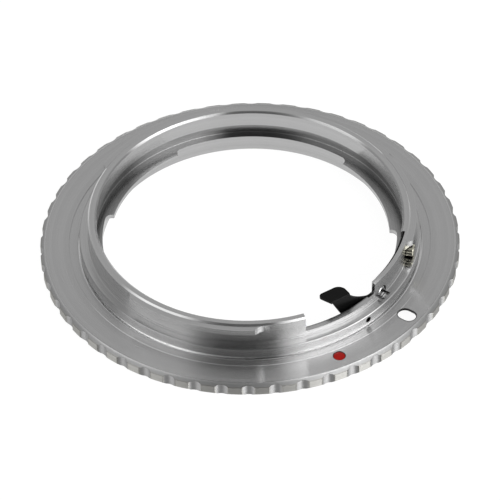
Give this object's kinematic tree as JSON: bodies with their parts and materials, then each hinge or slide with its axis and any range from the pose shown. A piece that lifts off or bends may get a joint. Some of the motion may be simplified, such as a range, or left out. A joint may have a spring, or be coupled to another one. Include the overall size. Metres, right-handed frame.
{
  "type": "lens mount adapter",
  "caption": "Flat fluted metal ring that joins a lens to a camera: bayonet lugs on a raised collar, lens-side lugs in the bore and a sprung release lever in a notch of the collar.",
  "frame": {"origin": "ring axis, on the lens seat under the flange", "axes": "+Z along the ring axis towards the camera, -Y towards the thumb notch side that faces the viewer, +X to the viewer's right"},
  "size_m": [0.066, 0.066, 0.0075],
  "materials": {
    "ring_metal": "fine turned, satin",
    "black_spring_steel": "blackened, satin",
    "pale_screw_steel": "pale yellow plating",
    "screw_steel": "bright",
    "red_enamel": "gloss"
  },
  "bodies": {
    "ring": {"ring_body": "ring_metal", "lever_leaf": "black_spring_steel", "stop_screw": "pale_screw_steel", "lever_screw": "screw_steel", "index_dot": "red_enamel"},
    "lever": {"release_lever": "black_spring_steel"}
  },
  "joints": [
    {"name": "lever_flex", "type": "hinge", "parent": "ring", "child": "lever", "pos_m": [0.01786, -0.01614, 0], "axis": [0, 0, 1], "range_deg": [0, 7], "stiffness_Nm_per_rad": 0.02}
  ]
}
